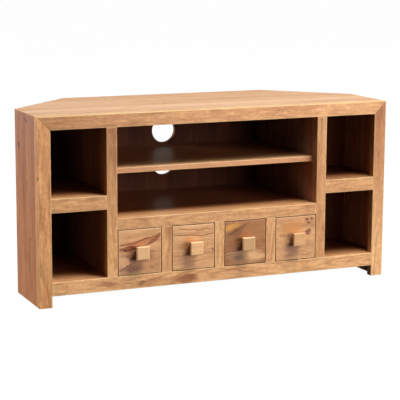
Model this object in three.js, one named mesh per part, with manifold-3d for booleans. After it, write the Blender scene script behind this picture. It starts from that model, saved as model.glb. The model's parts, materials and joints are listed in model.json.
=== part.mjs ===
// Corner media cabinet in solid wood: a mitred face frame on board panels, two open side bays,
// a two-level centre bay, and four inset drawers with square knobs.
// Millimetres. +X is to the right seen from the front, +Y is towards the room corner, +Z is up.
// The origin is on the floor, in the middle of the whole object's footprint box, knobs included.
import * as THREE from "three";
import { mergeVertices } from "three/addons/utils/BufferGeometryUtils.js";
import Module from "manifold-3d";

const wasm = await Module();
wasm.setup();

// ---------- driving dimensions ----------
const overallWidth = 1200;
const overallHeight = 588;
const cabinetDepth = 466; // face frame to back panel, without the knobs
const sideDepth = 230; // the short sides, before the plan turns 45 degrees along the walls

const frameDepth = 25; // every face-frame member, front to back
const frameWidth = 42; // outer stiles and top rail, mitred at the top corners
const bottomRailHeight = 43;
const footClearance = 36; // floor to the underside of the bottom rail
const panelThickness = 20; // top, sides, dividers, bottom, deck and side shelves
const backThickness = 15; // back panel and the two angled backs
const housingDepth = 6; // grooves that carry the ends of shelves, deck and bottom

const drawerCount = 4;
const drawerOpeningWidth = 147.5;
const drawerOpeningHeight = 147;
const mullionWidth = 34;
const dividerStileWidth = 34;
const deckRailHeight = 36;

const sideShelfTop = 337; // above the floor
const sideShelfRailHeight = 44;
const middleShelfTop = 414;
const middleShelfThickness = 17;
const middleShelfSetback = 34; // behind the face of the frame

const cableHoleRadius = 42;
const cableHoleX = -9; // both holes sit one above the other, a little left of centre
const upperHoleAboveShelf = 51; // hole centre above the middle shelf's top face
const lowerHoleBelowShelf = 44; // hole centre below the middle shelf's underside

const drawerFrontGap = 2.5; // shadow gap around each drawer front
const drawerFrontThickness = 20;
const drawerRearSpace = 51; // behind each drawer box: the stop rail and some air
const drawerBoardThickness = 12; // drawer sides and back
const drawerSideHeight = 115;
const drawerFloorThickness = 6;
const drawerFloorRaise = 8; // drawer floor above the lower edge of the sides
const drawerGrooveDepth = 5;
const drawerRunningClearance = 0.5; // drawer sides above the bottom panel

const guideHeight = 30; // rails on the bottom panel that steer the drawers
const stopRailWidth = 20;
const stopRailHeight = 24;

const knobWidth = 44;
const knobReach = 30; // drawer front to the knob's face
const knobBlockDepth = 6.5; // the straight-sided outer part of the knob
const knobChamfer = 3; // around the knob's face
const knobNeckWidth = 25; // where the tapered part meets the drawer front

const screwShankRadius = 2;
const screwHeadRadius = 4;
const screwHeadHeight = 2.4;
const screwInKnob = 14; // length of screw inside the knob

const rearFootWidth = 42;
const rearFootInset = 12; // from the inner face of the back panel and from the angled backs

const seam = 0.3; // hairline left between boards that meet
const boreSegments = 20;
const holeSegments = 56;

// ---------- positions worked out from the driving dimensions ----------
const frontY = (knobReach - cabinetDepth) / 2; // face of the frame
const behindFrameY = frontY + frameDepth;
const rearY = frontY + cabinetDepth; // outer face of the back panel
const backInnerY = rearY - backThickness;
const sideEndY = frontY + sideDepth;

const outerX = overallWidth / 2;
const sideInnerX = outerX - panelThickness;
const stileInnerX = outerX - frameWidth;
const centreBayWidth = drawerCount * drawerOpeningWidth + (drawerCount - 1) * mullionWidth;
const bayX = centreBayWidth / 2; // face of a divider towards the centre bay
const dividerOuterX = bayX + panelThickness;
const dividerStileOuterX = bayX + dividerStileWidth;

const floorPanelTop = footClearance + bottomRailHeight;
const drawerOpeningTop = floorPanelTop + drawerOpeningHeight;
const deckTop = drawerOpeningTop + deckRailHeight;
const topRailBottom = overallHeight - frameWidth;
const topPanelBottom = overallHeight - panelThickness;
const middleShelfBottom = middleShelfTop - middleShelfThickness;

// The 45-degree plan lines: |x| + y equals this on the outer and on the inner face of an angled back.
const outerWallSum = outerX + sideEndY;
const innerWallSum = outerWallSum - backThickness * Math.SQRT2;
const slantSeam = seam * Math.SQRT2; // the same hairline, measured along X or Y across a 45-degree joint
const cutOver = 2; // how far a cutting shape runs past the board it cuts

// The drawers are as long as the bay is deep where its outermost drawer runs, less the space behind.
const bayRearY = Math.min(backInnerY, innerWallSum - bayX);
const drawerLength = bayRearY - frontY - drawerRearSpace;

// ---------- materials ----------
const finish = (color, roughness, metalness = 0) =>
  new THREE.MeshStandardMaterial({ color, roughness, metalness });
const frameWood = finish(0xd6a06c, 0.5);
const panelWood = finish(0xc98f5e, 0.52);
const topWood = finish(0xe2b98a, 0.48);
const shadeWood = finish(0x6b4228, 0.6); // the stained insides of the backs
const drawerWood = finish(0xd2a573, 0.5);
const boxWood = finish(0xcfa878, 0.65);
const knobWood = finish(0xe3bd85, 0.48);
const screwSteel = finish(0x9a9a9c, 0.35, 0.9);

const cabinet = new THREE.Group();

// ---------- shape helpers ----------

// Adds a named mesh to the cabinet.
function addPiece(name, geometry, material, parent = cabinet) {
  const mesh = new THREE.Mesh(geometry, material);
  mesh.name = name;
  parent.add(mesh);
  return mesh;
}

// A box between two corners, each given as [x, y, z].
function boxBetween([x0, y0, z0], [x1, y1, z1]) {
  const geometry = new THREE.BoxGeometry(x1 - x0, y1 - y0, z1 - z0);
  return geometry.translate((x0 + x1) / 2, (y0 + y1) / 2, (z0 + z1) / 2);
}

function outline(points) {
  return new THREE.Shape(points.map(([a, b]) => new THREE.Vector2(a, b)));
}

// A plan outline of [x, y] points, raised from z0 to z1.
function prismUp(points, z0, z1) {
  const geometry = new THREE.ExtrudeGeometry(outline(points), {
    depth: z1 - z0,
    bevelEnabled: false,
  });
  return geometry.translate(0, 0, z0);
}

// A front-view outline of [x, z] points, carried back from y0 to y1.
function prismBack(points, y0, y1) {
  const geometry = new THREE.ExtrudeGeometry(outline(points), {
    depth: y1 - y0,
    bevelEnabled: false,
  });
  return geometry.rotateX(Math.PI / 2).translate(0, y1, 0);
}

// A round bar along Y between y0 and y1.
function barAlongY(x, z, radius, y0, y1, segments = boreSegments) {
  const geometry = new THREE.CylinderGeometry(radius, radius, y1 - y0, segments);
  return geometry.translate(x, (y0 + y1) / 2, z);
}

// The left-hand twin of right-hand points.
function mirrored(points) {
  return points.map(([x, other]) => [-x, other]).reverse();
}

function toSolid(geometry) {
  const bare = geometry.clone();
  bare.deleteAttribute("normal");
  bare.deleteAttribute("uv");
  const merged = mergeVertices(bare, 1e-4);
  return new wasm.Manifold(
    new wasm.Mesh({
      numProp: 3,
      vertProperties: new Float32Array(merged.getAttribute("position").array),
      triVerts: new Uint32Array(merged.index.array),
    }),
  );
}

function toGeometry(solid) {
  const made = solid.getMesh();
  const geometry = new THREE.BufferGeometry();
  geometry.setAttribute("position", new THREE.BufferAttribute(made.vertProperties, 3));
  geometry.setIndex(new THREE.BufferAttribute(made.triVerts, 1));
  geometry.computeVertexNormals();
  return geometry;
}

// A geometry with other geometries cut out of it.
function cut(geometry, ...tools) {
  return toGeometry(tools.reduce((solid, tool) => solid.subtract(toSolid(tool)), toSolid(geometry)));
}

// The part of a geometry that lies behind the face frame and inside the backs.
function insideWalls(geometry) {
  const startY = behindFrameY + seam;
  const rearEndY = backInnerY - seam;
  const wallSum = innerWallSum - slantSeam;
  const room = [
    [-outerX, startY],
    [outerX, startY],
    [outerX, wallSum - outerX],
    [wallSum - rearEndY, rearEndY],
    [rearEndY - wallSum, rearEndY],
    [-outerX, wallSum - outerX],
  ];
  return toGeometry(toSolid(geometry).intersect(toSolid(prismUp(room, 0, overallHeight))));
}

// Calls make("right", 1) and make("left", -1).
function forEachSide(make) {
  make("right", 1);
  make("left", -1);
}

// A box given for the right-hand side, or its left-hand twin when sign is -1.
function sidedBox(sign, [x0, y0, z0], [x1, y1, z1]) {
  return sign > 0
    ? boxBetween([x0, y0, z0], [x1, y1, z1])
    : boxBetween([-x1, y0, z0], [-x0, y1, z1]);
}

function sidedPlan(sign, points) {
  return sign > 0 ? points : mirrored(points);
}

// ---------- carcass ----------

function addTop() {
  const plan = [
    [-outerX, behindFrameY + seam],
    [outerX, behindFrameY + seam],
    [outerX, sideEndY],
    [outerWallSum - rearY, rearY],
    [rearY - outerWallSum, rearY],
    [-outerX, sideEndY],
  ];
  // The wedge above the right side panel's mitre.
  const wedge = [
    [outerX - slantSeam + cutOver, overallHeight + cutOver],
    [sideInnerX - slantSeam - cutOver, topPanelBottom - cutOver],
    [outerX - slantSeam + cutOver, topPanelBottom - cutOver],
  ];
  addPiece(
    "top_panel",
    cut(
      prismUp(plan, topPanelBottom, overallHeight),
      prismBack(wedge, behindFrameY - cutOver, sideEndY + seam),
      prismBack(mirrored(wedge), behindFrameY - cutOver, sideEndY + seam),
    ),
    topWood,
  );
}

function addFaceFrame() {
  const railEnd = outerX - slantSeam;
  const railInnerEnd = stileInnerX - slantSeam;
  addPiece(
    "front_top_rail",
    prismBack(
      [
        [-railInnerEnd, topRailBottom],
        [railInnerEnd, topRailBottom],
        [railEnd, overallHeight],
        [-railEnd, overallHeight],
      ],
      frontY,
      behindFrameY,
    ),
    frameWood,
  );
  const stile = [
    [stileInnerX, 0],
    [outerX, 0],
    [outerX, overallHeight],
    [stileInnerX, topRailBottom],
  ];
  addPiece("right_stile", prismBack(stile, frontY, behindFrameY), frameWood);
  addPiece("left_stile", prismBack(mirrored(stile), frontY, behindFrameY), frameWood);
  addPiece(
    "front_bottom_rail",
    boxBetween(
      [-stileInnerX + seam, frontY, footClearance],
      [stileInnerX - seam, behindFrameY, floorPanelTop],
    ),
    frameWood,
  );
  addPiece(
    "deck_rail",
    boxBetween([-bayX + seam, frontY, drawerOpeningTop], [bayX - seam, behindFrameY, deckTop]),
    frameWood,
  );
  forEachSide((side, sign) => {
    addPiece(
      `${side}_divider_stile`,
      sidedBox(
        sign,
        [bayX, frontY, floorPanelTop + seam],
        [dividerStileOuterX, behindFrameY, topRailBottom - seam],
      ),
      frameWood,
    );
    addPiece(
      `${side}_shelf_rail`,
      sidedBox(
        sign,
        [dividerStileOuterX + seam, frontY, sideShelfTop - sideShelfRailHeight],
        [stileInnerX - seam, behindFrameY, sideShelfTop],
      ),
      frameWood,
    );
  });
}

function addSidePanels() {
  const section = [
    [sideInnerX, 0],
    [outerX, 0],
    [outerX, overallHeight],
    [sideInnerX, topPanelBottom],
  ];
  forEachSide((side, sign) => {
    const housing = (top) =>
      sidedBox(
        sign,
        [sideInnerX - cutOver, behindFrameY - cutOver, top - panelThickness - seam],
        [sideInnerX + housingDepth, sideEndY + cutOver, top + seam],
      );
    addPiece(
      `${side}_side_panel`,
      cut(
        prismBack(sidedPlan(sign, section), behindFrameY + seam, sideEndY),
        housing(sideShelfTop),
        housing(floorPanelTop),
      ),
      panelWood,
    );
  });
}

function addBottom() {
  const endX = sideInnerX + housingDepth - seam;
  addPiece(
    "bottom_panel",
    insideWalls(
      boxBetween([-endX, frontY, floorPanelTop - panelThickness], [endX, rearY, floorPanelTop]),
    ),
    panelWood,
  );
}

function addDividers() {
  forEachSide((side, sign) => {
    const centreHousing = (fromY, z0, z1) =>
      sidedBox(
        sign,
        [bayX - cutOver, fromY - seam, z0 - seam],
        [bayX + housingDepth, rearY, z1 + seam],
      );
    const sideHousing = sidedBox(
      sign,
      [dividerOuterX - housingDepth, frontY, sideShelfTop - panelThickness - seam],
      [dividerOuterX + cutOver, rearY, sideShelfTop + seam],
    );
    addPiece(
      `${side}_divider_panel`,
      cut(
        insideWalls(
          sidedBox(
            sign,
            [bayX, frontY, floorPanelTop + seam],
            [dividerOuterX, rearY, topPanelBottom - seam],
          ),
        ),
        centreHousing(frontY + middleShelfSetback, middleShelfBottom, middleShelfTop),
        centreHousing(behindFrameY, deckTop - panelThickness, deckTop),
        sideHousing,
      ),
      panelWood,
    );
  });
}

function addShelves() {
  const centreEndX = bayX + housingDepth - seam;
  addPiece(
    "centre_deck",
    insideWalls(
      boxBetween([-centreEndX, frontY, deckTop - panelThickness], [centreEndX, rearY, deckTop]),
    ),
    panelWood,
  );
  addPiece(
    "middle_shelf",
    insideWalls(
      boxBetween(
        [-centreEndX, frontY + middleShelfSetback, middleShelfBottom],
        [centreEndX, rearY, middleShelfTop],
      ),
    ),
    frameWood,
  );
  forEachSide((side, sign) => {
    addPiece(
      `${side}_shelf`,
      insideWalls(
        sidedBox(
          sign,
          [dividerOuterX - housingDepth + seam, frontY, sideShelfTop - panelThickness],
          [sideInnerX + housingDepth - seam, rearY, sideShelfTop],
        ),
      ),
      panelWood,
    );
  });
}

// The back panel and the angled backs meet in mitres at the two rear corners.
function addBacks() {
  const top = topPanelBottom - seam;
  const innerCornerX = innerWallSum - backInnerY;
  const outerCornerX = outerWallSum - rearY;
  const plan = [
    [-innerCornerX + seam, backInnerY],
    [innerCornerX - seam, backInnerY],
    [outerCornerX - seam, rearY],
    [-outerCornerX + seam, rearY],
  ];
  const holeAt = (z) =>
    barAlongY(cableHoleX, z, cableHoleRadius, backInnerY - cutOver, rearY + cutOver, holeSegments);
  addPiece(
    "back_panel",
    cut(
      prismUp(plan, footClearance, top),
      holeAt(middleShelfTop + upperHoleAboveShelf),
      holeAt(middleShelfBottom - lowerHoleBelowShelf),
    ),
    shadeWood,
  );
  const startY = sideEndY + seam;
  const angled = [
    [innerWallSum - startY, startY],
    [outerWallSum - startY, startY],
    [outerCornerX, rearY],
    [innerCornerX, backInnerY],
  ];
  forEachSide((side, sign) => {
    addPiece(
      `${side}_angled_back`,
      prismUp(sidedPlan(sign, angled), footClearance, top),
      shadeWood,
    );
  });
}

function addRearFeet() {
  const footTop = floorPanelTop - panelThickness - seam;
  const footRearY = backInnerY - rearFootInset;
  const footOuterX = innerWallSum - footRearY - rearFootInset;
  forEachSide((side, sign) => {
    addPiece(
      `${side}_rear_foot`,
      sidedBox(
        sign,
        [footOuterX - rearFootWidth, footRearY - rearFootWidth, 0],
        [footOuterX, footRearY, footTop],
      ),
      panelWood,
    );
  });
}

// ---------- drawer bay ----------

// The middle of drawer opening number index, counted from the left, starting at 0.
function openingCentre(index) {
  return (index - (drawerCount - 1) / 2) * (drawerOpeningWidth + mullionWidth);
}

function addDrawerBay() {
  const stopY = frontY + drawerLength + drawerRunningClearance;
  for (let gap = 1; gap < drawerCount; gap++) {
    const x = (openingCentre(gap - 1) + openingCentre(gap)) / 2;
    const x0 = x - mullionWidth / 2;
    const x1 = x + mullionWidth / 2;
    addPiece(
      `drawer_mullion_${gap}`,
      boxBetween(
        [x0, frontY, floorPanelTop + seam],
        [x1, behindFrameY, drawerOpeningTop - seam],
      ),
      frameWood,
    );
    addPiece(
      `drawer_guide_${gap}`,
      boxBetween(
        [x0, behindFrameY + seam, floorPanelTop + seam],
        [x1, stopY - seam, floorPanelTop + guideHeight],
      ),
      boxWood,
    );
  }
  addPiece(
    "drawer_stop_rail",
    boxBetween(
      [-bayX + seam, stopY, floorPanelTop + seam],
      [bayX - seam, stopY + stopRailWidth, floorPanelTop + stopRailHeight],
    ),
    boxWood,
  );
}

// ---------- drawers ----------

// A square knob centred on x = 0, z = 0, reaching towards -Y from the drawer front's face at y = 0.
function knobShape() {
  // Half widths of the square section against the distance from the drawer front.
  const profile = [
    [0, seam],
    [knobNeckWidth / 2, seam],
    [knobWidth / 2, knobReach - knobBlockDepth],
    [knobWidth / 2, knobReach - knobChamfer],
    [knobWidth / 2 - knobChamfer, knobReach],
    [0, knobReach],
  ];
  // Turned with four sides, so a corner's radius is the half width times the square root of 2.
  const points = profile.map(([half, y]) => new THREE.Vector2(half * Math.SQRT2, y));
  const body = new THREE.LatheGeometry(points, 4).rotateY(Math.PI / 4).rotateX(Math.PI);
  return cut(body, barAlongY(0, 0, screwShankRadius + seam, -screwInKnob - 1, cutOver));
}

// A pan-head screw along Y: the head behind the drawer front, the point inside the knob.
function screwShape() {
  const shankLength = drawerFrontThickness + screwInKnob;
  const pointLength = 4;
  const profile = [
    [0, 0],
    [screwHeadRadius * 0.7, 0],
    [screwHeadRadius, screwHeadHeight * 0.45],
    [screwHeadRadius, screwHeadHeight],
    [screwShankRadius, screwHeadHeight],
    [screwShankRadius, screwHeadHeight + shankLength - pointLength],
    [0, screwHeadHeight + shankLength],
  ];
  const points = profile.map(([r, y]) => new THREE.Vector2(r, y));
  const geometry = new THREE.LatheGeometry(points, boreSegments);
  // Its profile runs from the head at y = 0 to the point; turn it so that the point faces -Y.
  return geometry.rotateX(Math.PI).translate(0, drawerFrontThickness + screwHeadHeight + seam, 0);
}

function addDrawer(index) {
  const drawer = new THREE.Group();
  drawer.position.set(openingCentre(index), frontY, 0);
  cabinet.add(drawer);
  const label = `drawer_${index + 1}`;

  const halfWidth = drawerOpeningWidth / 2 - drawerFrontGap;
  const frontBottom = floorPanelTop + drawerFrontGap;
  const frontTop = drawerOpeningTop - drawerFrontGap;
  const knobZ = (frontBottom + frontTop) / 2;
  const boxBottom = floorPanelTop + drawerRunningClearance;
  const boxTop = boxBottom + drawerSideHeight;
  const floorBottom = boxBottom + drawerFloorRaise;
  const floorTop = floorBottom + drawerFloorThickness;
  const boxInnerX = halfWidth - drawerBoardThickness;
  const boxFrontY = drawerFrontThickness + seam;
  const floorHalfWidth = boxInnerX + drawerGrooveDepth - seam;

  const frontGroove = boxBetween(
    [-floorHalfWidth - seam, drawerFrontThickness - drawerGrooveDepth, floorBottom - seam],
    [floorHalfWidth + seam, drawerFrontThickness + cutOver, floorTop + seam],
  );
  const screwHole = barAlongY(
    0, knobZ, screwShankRadius + seam, -cutOver, drawerFrontThickness + cutOver,
  );
  addPiece(
    `${label}_front`,
    cut(
      boxBetween([-halfWidth, 0, frontBottom], [halfWidth, drawerFrontThickness, frontTop]),
      frontGroove,
      screwHole,
    ),
    drawerWood,
    drawer,
  );

  forEachSide((side, sign) => {
    const groove = sidedBox(
      sign,
      [boxInnerX - cutOver, boxFrontY - cutOver, floorBottom - seam],
      [boxInnerX + drawerGrooveDepth, drawerLength + cutOver, floorTop + seam],
    );
    addPiece(
      `${label}_${side}_side`,
      cut(
        sidedBox(sign, [boxInnerX, boxFrontY, boxBottom], [halfWidth, drawerLength, boxTop]),
        groove,
      ),
      boxWood,
      drawer,
    );
  });
  addPiece(
    `${label}_back`,
    boxBetween(
      [-boxInnerX + seam, drawerLength - drawerBoardThickness, floorTop + seam],
      [boxInnerX - seam, drawerLength, boxTop],
    ),
    boxWood,
    drawer,
  );
  addPiece(
    `${label}_floor`,
    boxBetween(
      [-floorHalfWidth, drawerFrontThickness - drawerGrooveDepth + seam, floorBottom],
      [floorHalfWidth, drawerLength, floorTop],
    ),
    boxWood,
    drawer,
  );
  addPiece(`${label}_knob`, knobShape().translate(0, 0, knobZ), knobWood, drawer);
  addPiece(`${label}_knob_screw`, screwShape().translate(0, 0, knobZ), screwSteel, drawer);
}

addTop();
addFaceFrame();
addSidePanels();
addBottom();
addDividers();
addShelves();
addBacks();
addRearFeet();
addDrawerBay();
for (let index = 0; index < drawerCount; index++) addDrawer(index);

export default cabinet;
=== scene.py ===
"""A corner media cabinet in lacquered mango wood: the boards, finishes and studio round its fixed frame."""

import json
import logging
import math
import random
from collections.abc import Iterable, Sequence
from dataclasses import dataclass, field
from enum import Enum
from typing import ClassVar, Union

import bmesh
import bpy
import numpy as np
from mathutils import Matrix, Vector
from mathutils.bvhtree import BVHTree


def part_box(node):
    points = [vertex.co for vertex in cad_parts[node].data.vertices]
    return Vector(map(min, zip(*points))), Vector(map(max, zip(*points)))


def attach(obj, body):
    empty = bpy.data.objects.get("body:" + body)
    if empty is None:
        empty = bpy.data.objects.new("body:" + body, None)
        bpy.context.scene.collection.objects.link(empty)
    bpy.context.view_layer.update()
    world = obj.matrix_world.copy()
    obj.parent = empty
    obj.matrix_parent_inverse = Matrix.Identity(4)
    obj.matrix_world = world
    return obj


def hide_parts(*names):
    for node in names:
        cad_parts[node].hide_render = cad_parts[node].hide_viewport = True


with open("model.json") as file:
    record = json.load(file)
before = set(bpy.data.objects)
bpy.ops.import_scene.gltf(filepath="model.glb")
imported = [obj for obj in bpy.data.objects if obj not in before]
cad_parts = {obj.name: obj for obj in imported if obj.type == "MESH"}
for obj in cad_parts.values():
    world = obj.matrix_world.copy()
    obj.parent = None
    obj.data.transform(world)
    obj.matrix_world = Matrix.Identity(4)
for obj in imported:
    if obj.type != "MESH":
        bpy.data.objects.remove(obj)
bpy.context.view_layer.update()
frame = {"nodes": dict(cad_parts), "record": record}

log = logging.getLogger("media_cabinet")

Colour = tuple[float, float, float]
Link = Union[float, Colour, "Signal"]

MM = 0.001

AT_NAME = "board_at"
HALF_NAME = "board_half"
SEED_NAME = "board_seed"
DRESS_NAME = "board_dress"
END_NAME = "board_end"
INSIDE_NAME = "board_inside"

WHITE: Colour = (1.0, 1.0, 1.0)


def paint(red: float, green: float, blue: float) -> Colour:
    """A display colour, 0 to 255 a channel, as the linear colour that a shader takes.

    Args:
        red: red channel, 0 to 255.
        green: green channel, 0 to 255.
        blue: blue channel, 0 to 255.

    Returns:
        The linear colour.
    """
    def linear(value: float) -> float:
        """One channel, linear."""
        share = value / 255
        return share / 12.92 if share <= 0.04045 else ((share + 0.055) / 1.055) ** 2.4

    return linear(red), linear(green), linear(blue)


def shifted(colour: Colour, scale: float, lift: float = 0.0) -> Colour:
    """A lighter or darker form of a colour.

    Args:
        colour: the linear colour.
        scale: what each channel is multiplied by.
        lift: what is added to each channel after that.

    Returns:
        The new colour, with no channel above 1.
    """
    return tuple(min(1.0, channel * scale + lift) for channel in colour)


BROWN, DEEP_BROWN = paint(150, 88, 48), paint(78, 40, 24)


class Signal:
    """A number that varies over a surface. Arithmetic on it adds Math nodes."""

    def __init__(self, sheet: "Sheet", socket: bpy.types.NodeSocket) -> None:
        """Wraps an output socket of one of the sheet's nodes."""
        self.sheet = sheet
        self.socket = socket

    def _math(self, operation: str, *values: Link) -> "Signal":
        """A Math node over these values."""
        return self.sheet.node("ShaderNodeMath", {"operation": operation}, dict(enumerate(values)))

    def __add__(self, other: Link) -> "Signal":
        """Sum."""
        return self._math("ADD", self, other)

    __radd__ = __add__

    def __mul__(self, other: Link) -> "Signal":
        """Product."""
        return self._math("MULTIPLY", self, other)

    __rmul__ = __mul__

    def __sub__(self, other: Link) -> "Signal":
        """Difference."""
        return self._math("SUBTRACT", self, other)

    def __rsub__(self, other: Link) -> "Signal":
        """Difference, the other way round."""
        return self._math("SUBTRACT", other, self)

    def __truediv__(self, other: Link) -> "Signal":
        """Quotient."""
        return self._math("DIVIDE", self, other)

    def __pow__(self, other: Link) -> "Signal":
        """Power."""
        return self._math("POWER", self, other)

    def at_least(self, other: Link) -> "Signal":
        """The larger of the two."""
        return self._math("MAXIMUM", self, other)

    def at_most(self, other: Link) -> "Signal":
        """The smaller of the two."""
        return self._math("MINIMUM", self, other)

    def share(self) -> "Signal":
        """The number, held between 0 and 1."""
        return self.at_least(0.0).at_most(1.0)

    def size(self) -> "Signal":
        """The number without its sign."""
        return self._math("ABSOLUTE", self)

    def wave(self) -> "Signal":
        """A wave from 0 to 1, one for each turn of the number in radians."""
        return self.sine() * 0.5 + 0.5

    def sine(self) -> "Signal":
        """Sine of the number in radians."""
        return self._math("SINE", self)

    def whole(self) -> "Signal":
        """The number rounded down."""
        return self._math("FLOOR", self)

    def rise(self, low: float, high: float) -> "Signal":
        """A soft step.

        Args:
            low: where the result starts from 0, or from 1 where low is above high.
            high: where the result reaches the other end.

        Returns:
            A number from 0 to 1.
        """
        start, stop, ends = (low, high, (0.0, 1.0)) if low < high else (high, low, (1.0, 0.0))
        return self.sheet.node(
            "ShaderNodeMapRange",
            {"interpolation_type": "SMOOTHSTEP"},
            {"Value": self, "From Min": start, "From Max": stop, "To Min": ends[0], "To Max": ends[1]},
        )


class Tint(Signal):
    """A colour or vector that varies over a surface. Arithmetic on it adds Vector Math nodes."""

    def _vector(self, operation: str, values: dict[int | str, Link]) -> "Tint":
        """A Vector Math node over these values."""
        return self.sheet.tint("ShaderNodeVectorMath", {"operation": operation}, values)

    def __add__(self, other: Link) -> "Tint":
        """Sum, channel by channel."""
        return self._vector("ADD", {0: self, 1: other})

    __radd__ = __add__

    def __mul__(self, other: Link) -> "Tint":
        """Product.

        Args:
            other: a number, or a colour that is multiplied channel by channel.

        Returns:
            The product.
        """
        if isinstance(other, (int, float)) or type(other) is Signal:
            return self._vector("SCALE", {0: self, "Scale": other})
        return self._vector("MULTIPLY", {0: self, 1: other})

    __rmul__ = __mul__

    def parts(self) -> tuple[Signal, Signal, Signal]:
        """The three channels as numbers."""
        split = self.sheet.raw("ShaderNodeSeparateXYZ", {}, {0: self})
        return tuple(Signal(self.sheet, out) for out in split.outputs)

    def blend(self, other: Link, share: Link) -> "Tint":
        """A mix of two colours.

        Args:
            other: the colour to go to.
            share: how much of it, 0 to 1.

        Returns:
            The mixed colour.
        """
        return self.sheet.tint(
            "ShaderNodeMix", {"data_type": "RGBA"}, {0: share, 6: self, 7: other}, output=2
        )


class Layer(Enum):
    """Layers of a pattern, by their cycles a metre along the grain, across it and through the board."""

    WOBBLE = (1.2, 6.0, 6.0)
    BODY = (0.8, 6.5, 6.5)
    RINGS = (1.5, 11.0, 11.0)
    BANDS = (1.9, 46.0, 46.0)
    MOTTLE = (17.0, 95.0, 95.0)
    FLECKS = (70.0, 150.0, 150.0)
    FIBRE = (16.0, 520.0, 520.0)
    GATE = (6.0, 22.0, 22.0)
    PORES = (70.0, 640.0, 640.0)
    PIN_KNOTS = (9.0, 17.0, 17.0)
    SPECKS = (42.0, 84.0, 84.0)
    OUTLINE = (24.0, 90.0, 90.0)
    STRAY = (14.0, 34.0, 34.0)
    SMEAR = (90.0, 90.0, 90.0)
    TURNING = (1500.0, 60.0, 60.0)


class Sheet:
    """The node tree of one material, from its first node to its Principled shader."""

    def __init__(self, name: str) -> None:
        """Makes an empty material with a shader and an output.

        Args:
            name: the material's name.
        """
        self.material = bpy.data.materials.new(name)
        self.material.use_nodes = True
        self.tree = self.material.node_tree
        self.tree.nodes.clear()
        self.shader = self.tree.nodes.new("ShaderNodeBsdfPrincipled")
        output = self.tree.nodes.new("ShaderNodeOutputMaterial")
        self.tree.links.new(self.shader.outputs[0], output.inputs[0])

    def set(self, socket: bpy.types.NodeSocket, value: Link) -> None:
        """Links a signal to a socket, or writes a number or colour on it.

        Args:
            socket: the input socket.
            value: what it gets.
        """
        if isinstance(value, Signal):
            self.tree.links.new(value.socket, socket)
        elif socket.type == "RGBA" and len(value) == 3:
            socket.default_value = (*value, 1.0)
        else:
            socket.default_value = value

    def raw(self, kind: str, settings: dict[str, object], values: dict[int | str, Link]) -> bpy.types.Node:
        """Any node.

        Args:
            kind: the node's type.
            settings: its settings, set before the sockets.
            values: a number, colour or signal for each socket named or counted.

        Returns:
            The node.
        """
        made = self.tree.nodes.new(kind)
        for key, value in settings.items():
            setattr(made, key, value)
        for key, value in values.items():
            self.set(made.inputs[key], value)
        return made

    def node(self, kind: str, settings: dict[str, object], values: dict[int | str, Link],
             output: int | str = 0) -> Signal:
        """Any node, as the number that one of its outputs gives."""
        return Signal(self, self.raw(kind, settings, values).outputs[output])

    def tint(self, kind: str, settings: dict[str, object], values: dict[int | str, Link],
             output: int | str = 0) -> Tint:
        """Any node, as the colour or vector that one of its outputs gives."""
        return Tint(self, self.raw(kind, settings, values).outputs[output])

    def attribute(self, name: str) -> Tint:
        """A vector that the board's mesh carries."""
        return self.tint("ShaderNodeAttribute", {"attribute_name": name}, {}, output="Vector")

    def number(self, name: str) -> Signal:
        """A number that the board's mesh carries."""
        return self.node("ShaderNodeAttribute", {"attribute_name": name}, {}, output="Fac")

    def flat(self, colour: Colour) -> Tint:
        """The same colour everywhere, ready for arithmetic."""
        return self.point(*colour)

    def point(self, x: Link, y: Link, z: Link) -> Tint:
        """A vector from three numbers."""
        return self.tint("ShaderNodeCombineXYZ", {}, {0: x, 1: y, 2: z})

    def noise(self, place: Tint, layer: Layer, detail: float = 2.0, rough: float = 0.5) -> Signal:
        """Cloudy noise.

        Args:
            place: the point on the board, in metres.
            layer: how far the noise is stretched.
            detail: octaves of finer noise.
            rough: how much the finer octaves count.

        Returns:
            A number around 0.5.
        """
        sockets = {"Vector": place * layer.value, "Scale": 1.0, "Detail": detail, "Roughness": rough}
        return self.node("ShaderNodeTexNoise", {}, sockets)

    def clouds(self, place: Tint, layer: Layer, detail: float = 2.0) -> tuple[Signal, Signal, Signal]:
        """Three cloudy noises at once.

        Args:
            place: the point on the board, in metres.
            layer: how far the noise is stretched.
            detail: octaves of finer noise.

        Returns:
            Three numbers around 0.5.
        """
        sockets = {"Vector": place * layer.value, "Scale": 1.0, "Detail": detail}
        return self.tint("ShaderNodeTexNoise", {}, sockets, output="Color").parts()

    def cells(self, place: Tint, layer: Layer) -> tuple[Signal, Tint]:
        """Scattered cells.

        Args:
            place: the point on the board, in metres.
            layer: how far the cells are stretched.

        Returns:
            The distance to the nearest cell's middle, and a random colour for each cell.
        """
        made = self.raw("ShaderNodeTexVoronoi", {}, {"Vector": place * layer.value, "Scale": 1.0})
        return Signal(self, made.outputs["Distance"]), Tint(self, made.outputs["Color"])

    def finish(self, colour: Link, roughness: Link, height: Signal | None,
               relief: float) -> bpy.types.Material:
        """Feeds the shader's varying sockets.

        Args:
            colour: base colour.
            roughness: roughness.
            height: surface height, 0 to 1, or None for a smooth surface.
            relief: the height's real depth in metres.

        Returns:
            The finished material.
        """
        self.set(self.shader.inputs["Base Color"], colour)
        self.set(self.shader.inputs["Roughness"], roughness)
        if height is not None:
            bump = self.tint(
                "ShaderNodeBump", {}, {"Strength": 1.0, "Distance": relief, "Height": height}, "Normal"
            )
            self.set(self.shader.inputs["Normal"], bump)
        return self.material

    def gloss(self, coat: float, coat_roughness: float, shine: float) -> None:
        """Sets the gloss that is the same all over.

        Args:
            coat: how much lacquer lies on the surface.
            coat_roughness: roughness of the lacquer.
            shine: specular level under it.
        """
        self.shader.inputs["Coat Weight"].default_value = coat
        self.shader.inputs["Coat Roughness"].default_value = coat_roughness
        self.shader.inputs["Specular IOR Level"].default_value = shine


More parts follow.
